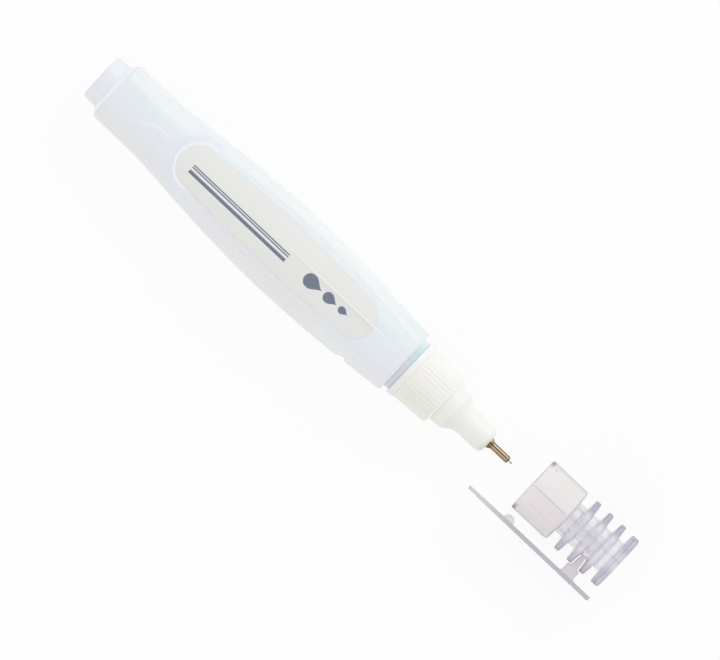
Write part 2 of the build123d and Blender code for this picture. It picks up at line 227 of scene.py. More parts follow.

# %% [markdown]
# The bottle is blown from a soft, milky plastic. It isn't white: it is faintly blue, with clouds of
# cyan and violet where the wall is thicker or the fluid inside clings to it. Long streaks run along
# the pen, because the plastic was drawn that way. On top of that the colour holds painted light: it is
# darker and warmer on the side away from the broad lamp, paler on the lamp's side, and a warmer painted
# shade lies on the tail's low side. The surface is satin, with a fine skin. Painted highlights brighten
# the tail's own edge, a thin arc around the label's tail end, with a painted shade outside it, and two
# raised lines behind the label. The neck band's grey is painted shade. Numbers that end up in a finish
# are plain millimetres.

# %% Milky bottle plastic
label_low, label_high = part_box("front_label")
label_back = label_low.x - shoulder_x
label_end_half_width = 5.3 * mm
tail_rim_end = -bottle_length / mm + 0.6
edge_line_y = 4.1
edge_line_span = (-88.0, -86.0, -76.5, -74.5)
bend_line_span = (-84.0, -82.0, -75.0, -73.0)
bend_from, bend_to = -84.0, -77.0
bend_start_y, bend_end_y = -1.8, 0.6
band_span = (-0.05, 0.05, 1.5, 1.6)


def label_tail_highlight_and_shade(x, y, z):
    """Masks of a painted highlight on a thin arc round the label's tail end and of a painted shade outside
    it.
    """
    along = x - (label_back + label_end_half_width) / mm
    off = x.maths("SQRT", along * along + y * y) - label_end_half_width / mm
    near = (1 - step(along, -1.0, 3.0)) * step(z, 5.0, 6.0)
    return span(off, -0.1, 0.1, 0.5, 0.9) * near, span(off, 0.7, 1.2, 1.2, 3.2) * near


def tail_ridge_highlights(x, y, z):
    """Mask of a painted highlight on the two raised lines behind the label: along the panel's edge, and
    bending to the middle.
    """
    edge_line = (1 - step(abs(y - edge_line_y), 0.1, 0.5)) * span(x, *edge_line_span)
    bend_y = step(x, bend_from, bend_to) * (bend_end_y - bend_start_y) + bend_start_y
    bend_line = (1 - step(abs(y - bend_y), 0.1, 0.5)) * span(x, *bend_line_span)
    upper_side = step(z, 2.0, 4.0)
    return x.maths("MAXIMUM", edge_line, bend_line) * upper_side


def milky_plastic():
    material, shader, place = new_finish(
        "milky plastic",
        {"IOR": 1.5, "Specular IOR Level": 0.4, "Subsurface Weight": 0.15, "Subsurface Scale": 1.5 * mm},
    )
    x, y, z = parts_of(place)
    streaks = cloud(stretched(place, 0.08, 1.0, 1.0), 2.2, 3.0)
    patches = cloud(place, 7.0, 3.0, 0.6)
    tint = cloud(stretched(place, 0.5, 1.0, 1.0), 5.0, 2.0)
    # Painted light: from the side away from the broad lamp to the lamp's side, the ramp below runs from a
    # darker warm grey through blues to a pale white.
    across = (y + 3.0 * patches - 1.5 + 11) / 22
    stops = [
        (0.06, rgb(0.797, 0.791, 0.772)),
        (0.17, rgb(0.787, 0.797, 0.824)),
        (0.31, rgb(0.798, 0.822, 0.874)),
        (0.50, rgb(0.820, 0.856, 0.896)),
        (0.71, rgb(0.862, 0.918, 0.944)),
        (0.86, rgb(0.875, 0.912, 0.938)),
        (0.95, rgb(0.925, 0.942, 0.955)),
    ]
    wall = x.add("ShaderNodeValToRGB", {"stops": stops}, {0: across})
    cool = mix(step(tint, 0.5, 0.75) * 0.5, wall, rgb(0.770, 0.862, 0.875))
    violet = mix(step(1 - tint, 0.55, 0.8) * 0.5, cool, rgb(0.790, 0.795, 0.880))
    streaked = mix(step(streaks, 0.52, 0.8) * 0.3, violet, rgb(0.735, 0.765, 0.810))
    # Painted shade: the tail's low side, away from the broad lamp, turns a warmer grey.
    low_tail_shade = step(-y, 3.5, 6.5) * step(-x, 70.0, 78.0)
    tail_shaded = mix(low_tail_shade * 0.6, streaked, rgb(0.790, 0.782, 0.765))
    # A painted highlight on a thin arc round the label's tail end, and a painted shade just outside it.
    bright, shade = label_tail_highlight_and_shade(x, y, z)
    shaded = mix(shade * 0.5, tail_shaded, rgb(0.775, 0.815, 0.885))
    # A painted highlight on the two raised lines behind the label.
    ridge_highlighted = mix(tail_ridge_highlights(x, y, z) * 0.5, shaded, rgb(0.915, 0.935, 0.965))
    arc_highlighted = mix(bright * 0.8, ridge_highlighted, rgb(0.945, 0.958, 0.990))
    # A painted highlight on the tail's own edge.
    painted_rim = span(x, tail_rim_end - 0.75, tail_rim_end - 0.65, tail_rim_end, tail_rim_end + 0.6)
    rim_highlighted = mix(painted_rim * 0.9, arc_highlighted, rgb(0.965, 0.975, 0.990))
    # Painted shade on the neck band in the gap before the collar, lighter towards the broad lamp.
    cool_band_shade = mix(step(y, -1.0, 2.5), rgb(0.700, 0.727, 0.778), rgb(0.680, 0.785, 0.815))
    band_painted_shade = mix(step(y, 3.5, 6.5), cool_band_shade, rgb(0.870, 0.920, 0.960))
    band = span(x, *band_span)
    colour = mix(band * 0.9, rim_highlighted, band_painted_shade)
    skin = cloud(place, 0.35, 2.0)
    feed(
        shader,
        base_color=colour,
        roughness=0.34 + 0.12 * patches,
        normal=bump(skin + 2 * streaks, 0.012, 0.5),
    )
    return material


milky = milky_plastic()
nodes["tail_plug"].data.materials[0] = milky
print("made", milky.name)

# %% [markdown]
# The bottle's section is two flat panels with a bowed side left and right. It is narrow at the tail,
# drawn in to a waist, widest at the belly and a little narrower at the front. A lathe can't make it,
# so the skin is a grid: rings of points, one ring at each place along the pen.

# %% Bottle sizes along the pen
tail_half_width = 7.9 * mm
front_half_width = 8.5 * mm
tail_panel_half = 4.6 * mm
belly_panel_half = 8.5 * mm
front_panel_half = 5.4 * mm
tail_over_plug = 1.0 * mm
tail_half_height = plug_high.z - axis.z + tail_over_plug
panel_spare = 0.08 * mm
waist_from_tail = 15.2 * mm
waist_softness = 0.05
belly_from_tail = 56.0 * mm
height_rise = 18.0 * mm
panel_edge_round = 1.6 * mm
tail_edge_round = 4.5 * mm


def between(share, first, last):
    return first + (last - first) * share


def bottle_sizes(from_tail):
    """Half width, half panel width and half height of the bottle at a place."""
    if from_tail <= belly_from_tail:
        share = (from_tail - waist_from_tail) / (belly_from_tail - waist_from_tail)
        softened = (share + math.sqrt(share**2 + waist_softness**2)) / 2
        swell = math.sin(softened * math.pi / 2)
        narrow_width, narrow_panel = tail_half_width, tail_panel_half
    else:
        share = (from_tail - belly_from_tail) / (bottle_length - belly_from_tail)
        swell = math.cos(share * math.pi / 2)
        narrow_width, narrow_panel = front_half_width, front_panel_half
    rise = math.sin(min(1.0, from_tail / height_rise) * math.pi / 2)
    width = between(swell, narrow_width, belly_half_width)
    panel = between(swell, narrow_panel, belly_panel_half)
    return width, panel, between(rise, tail_half_height, panel_half_height + panel_spare)


def edge_round(from_tail):
    """Rounding between panel and side: wide at the tail, tight at the belly."""
    share = min(1.0, max(0.0, (from_tail - waist_from_tail) / (belly_from_tail - waist_from_tail) * 2))
    return between(share * share * (3 - 2 * share), tail_edge_round, panel_edge_round)


def section_ring(width, panel, height, rounding, flat_steps=30, bend_steps=16, side_steps=14):
    """Points (y, z) round the bottle, each with a mark that is 1 on a panel's edge."""
    bow = width - panel
    side_radius = (height**2 + bow**2) / (2 * bow)
    side_centre = width - side_radius
    lift = height - rounding
    corner = side_centre + math.sqrt((side_radius - rounding) ** 2 - lift**2)
    lean = math.atan2(lift, corner - side_centre)
    quarter = [(corner * i / flat_steps, height) for i in range(flat_steps)]
    for i in range(bend_steps):
        turn = between(i / bend_steps, math.pi / 2, lean)
        quarter.append((corner + rounding * math.cos(turn), lift + rounding * math.sin(turn)))
    for i in range(side_steps + 1):
        turn = lean * (1 - i / side_steps)
        quarter.append((side_centre + side_radius * math.cos(turn), side_radius * math.sin(turn)))
    marked = [(y, z, math.exp(-((i - flat_steps) ** 2))) for i, (y, z) in enumerate(quarter)]
    forth, back = marked[:-1], marked[:0:-1]
    ring = forth + [(y, -z, edge) for y, z, edge in back]
    return ring + [(-y, -z, edge) for y, z, edge in forth] + [(-y, z, edge) for y, z, edge in back]


print("sizes at the belly", [round(size / mm, 2) for size in bottle_sizes(belly_from_tail)])

# %% [markdown]
# Five things shape that skin. A shallow pocket holds the label. A parting line, left by the mould, runs
# along the panels: sharp on one side, sloping away on the other, and stronger near the front. Two faint
# raised lines lie behind the label. A fine groove follows each panel's edge, and a small notch bites into
# each side. All are soft formulas of the place, so the grid needs no cutting.

# %% What the mould leaves in the skin
label_front = label_high.x - shoulder_x
label_half_width = (label_high.y - label_low.y) / 2
pocket_depth = 0.2 * mm
pocket_margin = 0.25 * mm
pocket_tail_margin = 1.6 * mm
pocket_slope = 0.5 * mm
crease_y = 1.0 * mm
crease_height = 0.22 * mm
back_crease_share = 0.5
crease_sharp = 0.18 * mm
crease_soft = 1.5 * mm
crease_span = (-52, -22, -8, -2)
crease_full_y, crease_end_y = 2 * mm, 4 * mm
ridge_height = 0.08 * mm
ridge_half_width = 0.35 * mm
edge_groove_depth = 0.13 * mm
edge_groove_start, edge_groove_full = -62 * mm, -50 * mm
notch_x = -11.3 * mm
notch_radius = 1.6 * mm
notch_depth = 0.6 * mm
wobble_height = 0.03 * mm
wobble_length = 9.0 * mm


def smooth(value, low, high):
    """0 below low, 1 above high, with a soft slope between."""
    share = min(1.0, max(0.0, (value - low) / (high - low)))
    return share * share * (3 - 2 * share)


def smooth_span(value, rise_low, rise_high, fall_low, fall_high):
    """0, then a soft rise to 1, then a soft fall back to 0, with the bounds in millimetres."""
    return smooth(value, rise_low * mm, rise_high * mm) * (1 - smooth(value, fall_low * mm, fall_high * mm))


def label_bow(x, first, last):
    """The nearest place between the centres of the label's end arcs, and how far its side bows there."""
    along = min(max(x, first), last)
    middle, reach = (first + last) / 2, (last - first) / 2
    return along, (label_half_width - label_end_half_width) * (1 - ((along - middle) / reach) ** 2)


def outside_oval(x, y, margin, tail_margin):
    """How far a place on the panel lies outside the label's long oval, negative inside."""
    half_end = label_end_half_width + margin
    along, bow = label_bow(x, label_back - tail_margin + half_end, label_front + margin - half_end)
    return math.hypot(x - along, y) - half_end - bow


def crease(x, y):
    """Height of the parting line over the panel, fading towards the tail."""
    off = y - crease_y
    fall = math.exp(-((off / crease_sharp) ** 2)) if off > 0 else math.exp(off / crease_soft)
    return crease_height * smooth_span(x, *crease_span) * fall


def tail_ridges(x, y):
    """Height of the lines behind the label: one along the panel's edge, one that bends to the middle."""
    bend_y = between(smooth(x, bend_from * mm, bend_to * mm), bend_start_y, bend_end_y)
    height = 0.0
    for reach, line_y in ((edge_line_span, edge_line_y), (bend_line_span, bend_y)):
        across = math.exp(-(((y - line_y * mm) / ridge_half_width) ** 2))
        height += ridge_height * smooth_span(x, *reach) * across
    return height


def pressed(x, y, z, edge, notch_face):
    """A point of the plain section with pocket, parting line, raised lines, groove and notch."""
    if abs(x - notch_x) < notch_radius:
        bite = notch_face - math.sqrt(notch_radius**2 - (x - notch_x) ** 2)
        y = math.copysign(min(abs(y), bite), y)
    level = panel_half_height
    if z > 0:
        inside = -outside_oval(x, y, pocket_margin, pocket_tail_margin)
        level -= pocket_depth * smooth(inside, 0, pocket_slope)
    height = min(abs(z), level)
    if height > panel_half_height / 2:
        groove = edge_groove_depth * edge * smooth(x, edge_groove_start, edge_groove_full)
        line = crease(x, y) * smooth(-abs(y), -crease_end_y, -crease_full_y)
        height += (line + tail_ridges(x, y) if z > 0 else line * back_crease_share) - groove
    wobble = noise.noise(Vector((x, y, z)) / wobble_length) * wobble_height
    return y + math.copysign(wobble, y), math.copysign(height, z)


print("label pocket from", round(label_back / mm, 2), "to", round(label_front / mm, 2))

# %% [markdown]
# A skin made of rings is joined by one short function: quads between neighbours, a closing face at
# each end. It works for the bottle, whose rings are sections, and for every turned piece, whose rings
# are circles. Whichever way the rings run, the faces have to look outward, so a skin that came out
# inside out is flipped. Sharp corners stay sharp by angle, everything else is shaded smooth.

# %% Join rings into a skin
def turn_outward(mesh):
    """Flips a closed mesh whose faces look inward, which shows as a volume below zero."""
    shape = bmesh.new()
    shape.from_mesh(mesh)
    inside_out = shape.calc_volume(signed=True) < 0
    shape.free()
    if inside_out:
        mesh.flip_normals()


def skin(name, rings, body, slot, finish, closed=False, sharp_degrees=40):
    """A closed mesh through rings of points: a tube with end faces, or a closed loop of rings."""
    count = len(rings[0])
    points = [point for ring in rings for point in ring]
    faces = []
    for i in range(len(rings) if closed else len(rings) - 1):
        here, there = i * count, (i + 1) % len(rings) * count
        for j in range(count):
            k = (j + 1) % count
            faces.append((here + j, here + k, there + k, there + j))
    if not closed:
        faces.append(tuple(reversed(range(count))))
        faces.append(tuple(range(len(points) - count, len(points))))
    mesh = bpy.data.meshes.new(name)
    mesh.from_pydata(points, [], faces)
    turn_outward(mesh)
    mesh.shade_smooth()
    mesh.set_sharp_from_angle(angle=math.radians(sharp_degrees))
    mesh.materials.append(finish)
    piece = bpy.data.objects.new(name, mesh)
    bpy.context.scene.collection.objects.link(piece)
    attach(piece, body)
    print(name, "has", len(mesh.vertices), "points")
    return piece


def circle_like(ring, x, radius_at):
    """A round ring with its points at the same angles as those of another ring."""
    points = []
    for y, z, edge in ring:
        turn = math.atan2(z, y)
        radius = radius_at(x, turn)
        points.append(on_pen(x, radius * math.cos(turn), radius * math.sin(turn)))
    return points


print("rings can be joined")

# %% [markdown]
# The neck starts with a band, grey with painted shade in the gap before the collar, and carries a screw
# thread. The thread shows when the collar is screwed off, so it is real: a ridge whose place along the neck
# grows with the angle round it.

# %% Neck and thread
band_length = 1.49 * mm
band_radius = 7.0 * mm
band_edge = 0.06 * mm
neck_radius = 5.2 * mm
neck_bore_radius = 4.0 * mm
side_wall = 1.2 * mm
thread_start = 2.7 * mm
thread_pitch = 2.5 * mm
thread_turns = 2.0
thread_height = 0.6 * mm
thread_root_half = 0.5 * mm
thread_crest_half = 0.275 * mm
thread_rings = 60


def thread_at(x, turn, start, turns):
    """Height of the screw ridge at a place and an angle, the ridge starting on top."""
    share = (turn - math.pi / 2) / (2 * math.pi)
    lap = round((x - start) / thread_pitch - share)
    lap = min(max(lap, math.ceil(-share)), math.floor(turns - share))
    off = abs(x - start - thread_pitch * (share + lap))
    return thread_height * (1 - smooth(off, thread_crest_half, thread_root_half))


def neck_surface(x, turn):
    return neck_radius + thread_at(x, turn, thread_start, thread_turns)


def plain_circle(radius):
    return lambda x, turn: radius


def neck_rings(front_ring):
    """Rings over the band and the thread to the neck's end, and back through its bore."""
    band = [
        (0, band_radius),
        (band_length - band_edge, band_radius),
        (band_length - band_edge * 0.3, band_radius - band_edge * 0.3),
        (band_length, band_radius - band_edge),
        (band_length, neck_radius),
    ]
    bore = [
        (neck_length, neck_radius - band_edge),
        (neck_length, neck_bore_radius),
        (-side_wall, neck_bore_radius),
    ]
    rings = [circle_like(front_ring, x, plain_circle(radius)) for x, radius in band]
    for i in range(1, thread_rings + 1):
        x = between(i / thread_rings, band_length, neck_length - band_edge)
        rings.append(circle_like(front_ring, x, neck_surface))
    return rings + [circle_like(front_ring, x, plain_circle(radius)) for x, radius in bore]


print("thread of", thread_turns, "turns, pitch", round(thread_pitch / mm, 2), "mm")

# %% [markdown]
# Now the bottle itself, from tail to neck: a rounded tail rim, the body, a rounded front and the neck.
# From the neck's bore the rings run back along the inside to the plug's hole, so the bottle is hollow and
# its ball can roll.

# %% Bottle skin
tail_bevel = 1.5 * mm
tail_rim_half_height = plug_high.z - axis.z
tail_rim_half_width = tail_rim_half_height + 0.1 * mm
tail_rim_panel_half = 1.5 * mm
bevel_steps = 10
front_round = 1.2 * mm
front_drop = 0.7 * mm
front_steps = 7
ring_spacing = 0.4 * mm
plug_bore_radius = 4.81 * mm
tail_wall = 2.4 * mm
least_round = 0.5 * mm
hollow_steps = 40


def body_stations():
    """Places from tail to front, each with the section's sizes there."""
    stations = []
    width, panel, height = bottle_sizes(tail_bevel)
    for i in range(bevel_steps):
        share = i / bevel_steps
        sizes = (
            between(share**0.75, tail_rim_half_width, width),
            between(share, tail_rim_panel_half, panel),
            between(share**0.5, tail_rim_half_height, height),
        )
        stations.append((tail_bevel * share - bottle_length, sizes))
    body_end = bottle_length - front_round
    count = round((body_end - tail_bevel) / ring_spacing)
    for i in range(count):
        from_tail = between(i / count, tail_bevel, body_end)
        stations.append((from_tail - bottle_length, bottle_sizes(from_tail)))
    front_sizes = bottle_sizes(body_end)
    for i in range(front_steps + 1):
        turn = math.pi / 2 * i / front_steps
        drop = front_drop * (1 - math.cos(turn))
        stations.append((front_round * (math.sin(turn) - 1), [size - drop for size in front_sizes]))
    return stations


def hollow_rings(tail_ring):
    """Rings along the inside, from the front wall to the hole for the plug."""
    rings = []
    for i in range(hollow_steps + 1):
        from_tail = between(i / hollow_steps, bottle_length - side_wall, tail_wall)
        sizes = [size - side_wall for size in bottle_sizes(from_tail)]
        ring = section_ring(*sizes, max(edge_round(from_tail) - side_wall, least_round))
        rings.append([on_pen(from_tail - bottle_length, y, z) for y, z, edge in ring])
    for from_tail in (tail_wall, 0):
        rings.append(circle_like(tail_ring, from_tail - bottle_length, plain_circle(plug_bore_radius)))
    return rings


def bottle_rings():
    notch_face = bottle_sizes(bottle_length + notch_x)[0] + notch_radius - notch_depth
    plain = [(x, section_ring(*sizes, edge_round(bottle_length + x))) for x, sizes in body_stations()]
    body = [[on_pen(x, *pressed(x, *point, notch_face)) for point in ring] for x, ring in plain]
    return body + neck_rings(plain[-1][1]) + hollow_rings(plain[0][1])


bottle_skin = skin("bottle_skin", bottle_rings(), "bottle", "bottle", milky, closed=True)
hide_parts("bottle")

# %% [markdown]
# The label is a thin film with rounded ends, in a warmer white than the bottle, with painted light that
# makes it paler towards the broad lamp. The mould's parting line shows through it as a crease, with a
# painted highlight along it and a painted shade beside it. Its print is generic: three drops and three
# rules, drawn by formulas, a little worn, and smoother than the film.

# %% Label finish
crease_line = crease_y / mm
rule_lines = ((-1.9, 0.42), (-0.75, 0.16), (-0.2, 0.16))
rule_span = (-66.2, -66.1, -36.1, -36.0)
rule_soft = 0.04
drop_places = ((-28.6, 1.75), (-23.0, 1.3), (-18.8, 0.9))
drop_y = -1.2


def drop_shape(x, y, centre_x, size):
    """1 inside a drop whose point looks to the pen's tip."""
    along = (x - centre_x) / size
    side = (y - drop_y) / size
    width = 1 - step(along, 0.2, 2.1)
    blunt = along * along * step(-along, -0.001, 0.0)
    inside = blunt + (side / (0.02 + width)) ** 2.0
    return step(1 - inside, 0.0, 0.08) * (1 - step(along, 1.95, 2.05))


def label_film():
    material, shader, place = new_finish("label film", {"IOR": 1.46, "Specular IOR Level": 0.35})
    x, y, z = parts_of(place)
    fibre = cloud(stretched(place, 1.0, 3.0, 1.0), 0.5, 3.0)
    patches = cloud(place, 8.0, 3.0)
    # Painted light: the film is paler towards the broad lamp and darker on the other side.
    lit = step(y + 2.0 * patches - 1.0, -6.0, 6.0)
    paper_painted_light = mix(lit, rgb(0.796, 0.795, 0.780), rgb(0.866, 0.864, 0.846))
    # A painted shade beside the crease and a painted highlight along it, both growing towards the front.
    grown = step(x, -44.0, -22.0)
    crease_shade_side = span(y, crease_line - 3.2, crease_line, crease_line - 0.1, crease_line)
    shaded = mix(crease_shade_side * grown * 0.45, paper_painted_light, rgb(0.690, 0.690, 0.695))
    crease_highlight = 1 - step(abs(y - crease_line - 0.1), 0.05, 0.2)
    crease_highlighted = mix(crease_highlight * grown * 0.85, shaded, rgb(0.965, 0.965, 0.950))
    shade = mix(fibre * 0.12, crease_highlighted, rgb(0.74, 0.74, 0.73))
    ink = rgb(0.115, 0.150, 0.215)
    rules = 0
    for rule_y, half in rule_lines:
        rules = (1 - step(abs(y - rule_y), half - rule_soft, half + rule_soft)) + rules
    drops = 0
    for centre_x, size in drop_places:
        drops = drop_shape(x, y, centre_x, size) + drops
    print_mask = x.maths("MINIMUM", rules * span(x, *rule_span) + drops, 1.0)
    worn = step(fibre, 0.15, 0.4)
    colour = mix(print_mask * worn * 0.92, shade, ink)
    feed(
        shader,
        base_color=colour,
        roughness=0.42 + 0.1 * fibre - 0.08 * print_mask,
        normal=bump(fibre + 0.6 * print_mask, 0.010, 0.6),
    )
    return material


film = label_film()
print("made", film.name)

# %% [markdown]
# The film is a little sheet of its own: rings across it, each with a top, turned-down edges and a flat
# underside. One line of points runs exactly along the parting line, with more points close to it, so
# the crease is in the mesh as well.

# %% Label sheet
label_top = label_high.z - axis.z
label_bottom = label_low.z - axis.z
label_edge = 0.06 * mm
label_stations = 240
points_before_fold, points_after_fold = 20, 24
least_half_width = 0.1 * mm


def label_half_at(x):
    """Half width of the label at a place along it."""
    along, bow = label_bow(x, label_back + label_end_half_width, label_front - label_end_half_width)
    return bow + math.sqrt(max(0.0, label_end_half_width**2 - (x - along) ** 2))


def label_rings():
    before = [(j / points_before_fold) ** 0.6 for j in range(points_before_fold)]
    after = [(j / points_after_fold) ** 1.6 for j in range(points_after_fold + 1)]
    rings = []
    for i in range(label_stations + 1):
        share = (1 - math.cos(math.pi * i / label_stations)) / 2
        x = between(between(0.5, share, i / label_stations), label_back, label_front)
        half = max(label_half_at(x), least_half_width)
        inner = half - min(label_edge, half / 2)
        fold = min(crease_y, inner * 0.6)
        across = [between(share, -inner, fold) for share in before]
        across += [between(share, fold, inner) for share in after]
        top = [(y, label_top + crease(x, y)) for y in across]
        side = between(0.4, label_top, label_bottom)
        under = [(half, side), (half, label_bottom), (-half, label_bottom), (-half, side)]
        rings.append([on_pen(x, y, z) for y, z in top + under])
    return rings


label_sheet = skin("label_sheet", label_rings(), "bottle", "label", film)
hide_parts("front_label")

# %% [markdown]
# The collar, the nozzle and the spring seat are moulded in a warmer, harder white. They show hardly any
# texture, only a soft satin and a cooler white on the collar's flange. So the finish is quiet: faint patches
# and a fine grain, with painted light on top: a painted shade, darker and yellower, on the side away from
# the broad lamp, and a painted highlight along the collar's front rim.

# %% Warm white plastic
flange_fade = (3.0, 3.4)
front_rim_highlight_span = (12.40, 12.50, 12.95, 13.05)


def warm_plastic():
    material, shader, place = new_finish(
        "warm white plastic",
        {"IOR": 1.5, "Specular IOR Level": 0.4, "Subsurface Weight": 0.1, "Subsurface Scale": 0.8 * mm},
    )
    x, y, z = parts_of(place)
    patches = cloud(place, 6.0, 3.0)
    grain = cloud(place, 0.25, 2.0)
    # Painted light round the pen: darker and yellower on the side away from the broad lamp, paler on the
    # lamp's side; the flange gets the same painted light in a cooler white.
    painted_side_light = step(y / (y * y + z * z + 0.01) ** 0.5, -1.05, 0.98)
    across = mix(painted_side_light, rgb(0.806, 0.797, 0.745), rgb(0.972, 0.972, 0.942))
    patched = mix(step(patches, 0.3, 0.7) * 0.25, across, rgb(0.900, 0.897, 0.870))
    on_flange = 1 - step(x, *flange_fade)
    flange_lit_white = mix(painted_side_light, rgb(0.800, 0.805, 0.765), rgb(0.960, 0.990, 0.985))
    plain = mix(on_flange * 0.7, patched, flange_lit_white)
    # A painted highlight along the collar's front rim.
    colour = mix(span(x, *front_rim_highlight_span) * 0.7, plain, rgb(0.955, 0.950, 0.920))
    feed(
        shader,
        base_color=colour,
        roughness=0.33 + 0.1 * patches,
        normal=bump(grain, 0.006, 0.5),
    )
    return material


warm_white = warm_plastic()
for node in ("nozzle", "spring_seat"):
    nodes[node].data.materials[0] = warm_white
print("made", warm_white.name)

# %% [markdown]
# Turned pieces need a profile with rounded corners. This helper takes corners (x, radius, rounding) and
# returns points with an arc at each rounded corner, so a profile is as short to write as to draw.

# %% Rounded profiles
def rounded(corners, arc_steps=6):
    """Points along a closed outline whose corners may be rounded."""
    points = []
    for i, corner in enumerate(corners):
        here = Vector(corner[:2])
        if len(corner) == 2:
            points.append(here)
            continue
        back = (Vector(corners[i - 1][:2]) - here).normalized()
        ahead = (Vector(corners[(i + 1) % len(corners)][:2]) - here).normalized()
        half_angle = back.angle(ahead) / 2
        centre = here + (back + ahead).normalized() * corner[2] / math.sin(half_angle)
        reach = corner[2] / math.tan(half_angle)
        start = (here + back * reach - centre).normalized()
        end = (here + ahead * reach - centre).normalized()
        for j in range(arc_steps + 1):
            points.append(centre + start.slerp(end, j / arc_steps) * corner[2])
    return points


def divided(points, longest):
    """The same closed outline with long runs cut into short ones."""
    finer = []
    for i, here in enumerate(points):
        there = points[(i + 1) % len(points)]
        cuts = max(1, math.ceil((there - here).length / longest))
        finer += [here.lerp(there, j / cuts) for j in range(cuts)]
    return finer


def turned_rings(points, segments, shape):
    """Rings about the pen's axis through (x, radius) points; shape gives the radius at each angle."""
    rings = []
    for x, radius in points:
        ring = []
        for j in range(segments):
            turn = 2 * math.pi * j / segments
            r = shape(x, radius, turn)
            ring.append(on_pen(x, r * math.cos(turn), r * math.sin(turn)))
        rings.append(ring)
    return rings


print("profiles ready")

# %% [markdown]
# The collar is the ring that the fingers turn. Its grip is 42 fine ribs with grooves between them, from a
# plain flange to a thin front rim. The grooves are cut by formula into a turned profile, and counted from
# half a rib beside the top, so that a rib lies on top. Inside is the thread that meets the neck's.

# %% Ribbed collar
collar_low, collar_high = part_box("collar")
collar_start = collar_low.x - shoulder_x
collar_front = collar_high.x - shoulder_x
flange_radius = (collar_high.y - collar_low.y) / 2
flange_length = 1.7 * mm
grip_rear_radius = 7.36 * mm
grip_front_radius = 6.9 * mm
rim_length = 0.5 * mm
rim_radius = 6.75 * mm
lip_radius = 5.46 * mm
lip_length = 1.3 * mm
collar_bore_radius = 6.1 * mm
rib_count = 42
groove_depth = 0.22 * mm
groove_half_width = 0.26 * mm
grip_start = collar_start + flange_length
grip_end = collar_front - rim_length
groove_run_in = 1.2 * mm
flange_rear_round = 0.12 * mm
flange_front_round = 0.4 * mm
rim_round = 0.2 * mm
collar_thread_turns = 1.5
collar_spacing = 0.3 * mm
points_per_rib = 14
just_off = 0.05 * mm


def collar_shape(x, radius, turn):
    if radius < collar_bore_radius + just_off and x < collar_front - lip_length - just_off:
        return radius - thread_at(x, turn, thread_start + thread_pitch / 2, collar_thread_turns)
    on_grip = grip_start < x < grip_end and radius > grip_front_radius - just_off
    if not on_grip:
        return radius
    lap = (turn - math.pi / 2) * rib_count / (2 * math.pi) - 0.5
    off = abs(lap - round(lap)) * 2 * math.pi / rib_count * radius
    ends = smooth(x, grip_start, grip_start + groove_run_in)
    return radius - groove_depth * ends * math.exp(-((off / groove_half_width) ** 2))


collar_profile = rounded(
    [
        (collar_start, collar_bore_radius),
        (collar_start, flange_radius, flange_rear_round),
        (grip_start, flange_radius, flange_front_round),
        (grip_start, grip_rear_radius),
        (grip_end, grip_front_radius),
        (grip_end, rim_radius),
        (collar_front, rim_radius, rim_round),
        (collar_front, lip_radius),
        (collar_front - lip_length, lip_radius),
        (collar_front - lip_length, collar_bore_radius),
    ]
)
collar_outline = divided(collar_profile, collar_spacing)
collar_rings = turned_rings(collar_outline, rib_count * points_per_rib, collar_shape)
ribbed_collar = skin("ribbed_collar", collar_rings, "collar", "white", warm_white, closed=True)
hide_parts("collar")

# %% [markdown]
# The writing tip is a turned metal tube with a flared foot. It is brown-gold rather than bright, with
# drawn flutes along its length that show as stripes. The flutes are in the mesh. The finish paints dark
# reflections into their floors, and paints the foot with a dark shade on one side and a pale highlight on
# the other. Needle, ball and spring are of plain bright steel.

# %% Drawn tip metal
flute_count = 8
flute_turn = math.radians(16)
foot_fade = (27.4, 28.2)


def tip_metal():
    material, shader, place = new_finish("tip metal", {"Metallic": 1.0})
    x, y, z = parts_of(place)
    turn = x.maths("ARCTAN2", z, y)
    # Painted reflections: the flute floors are painted almost black, so the flutes show as dark stripes.
    floor = step(-x.maths("COSINE", (turn - flute_turn) * flute_count), -0.2, 0.7)
    fine = cloud(stretched(place, 0.3, 6.0, 6.0), 0.5, 2.0)
    foot = 1 - step(x, *foot_fade)
    painted_reflection_gold = mix(floor, rgb(0.500, 0.378, 0.258), rgb(0.075, 0.044, 0.020))
    worn = mix(fine * 0.18, painted_reflection_gold, rgb(0.34, 0.26, 0.18))
    # Painted light on the foot: a dark brown painted shade on one side, a pale painted highlight on the
    # other.
    foot_painted_light = mix(step(y, 0.1, 1.0), rgb(0.165, 0.115, 0.060), rgb(0.540, 0.445, 0.325))
    colour = mix(foot * 0.75, worn, foot_painted_light)
    feed(shader, base_color=colour, roughness=0.30 + 0.15 * fine, normal=bump(fine, 0.006, 0.5))
    return material


def bright_steel():
    material, shader, place = new_finish("bright steel", {"Metallic": 1.0})
    fine = cloud(stretched(place, 0.4, 5.0, 5.0), 0.4, 2.0)
    colour = mix(fine, rgb(0.36, 0.345, 0.33), rgb(0.52, 0.51, 0.49))
    feed(shader, base_color=colour, roughness=0.2 + 0.15 * fine, normal=bump(fine, 0.004, 0.5))
    return material


drawn_metal = tip_metal()
steel = bright_steel()
for node in ("valve_needle", "mixing_ball"):
    nodes[node].data.materials[0] = steel
print("metals made")

# %% [markdown]
# The tip's tube is turned like the collar: first its outline, from the shank in the nozzle to the small
# hole at the end, then the flutes by formula. They start past the flare and run out before the end.

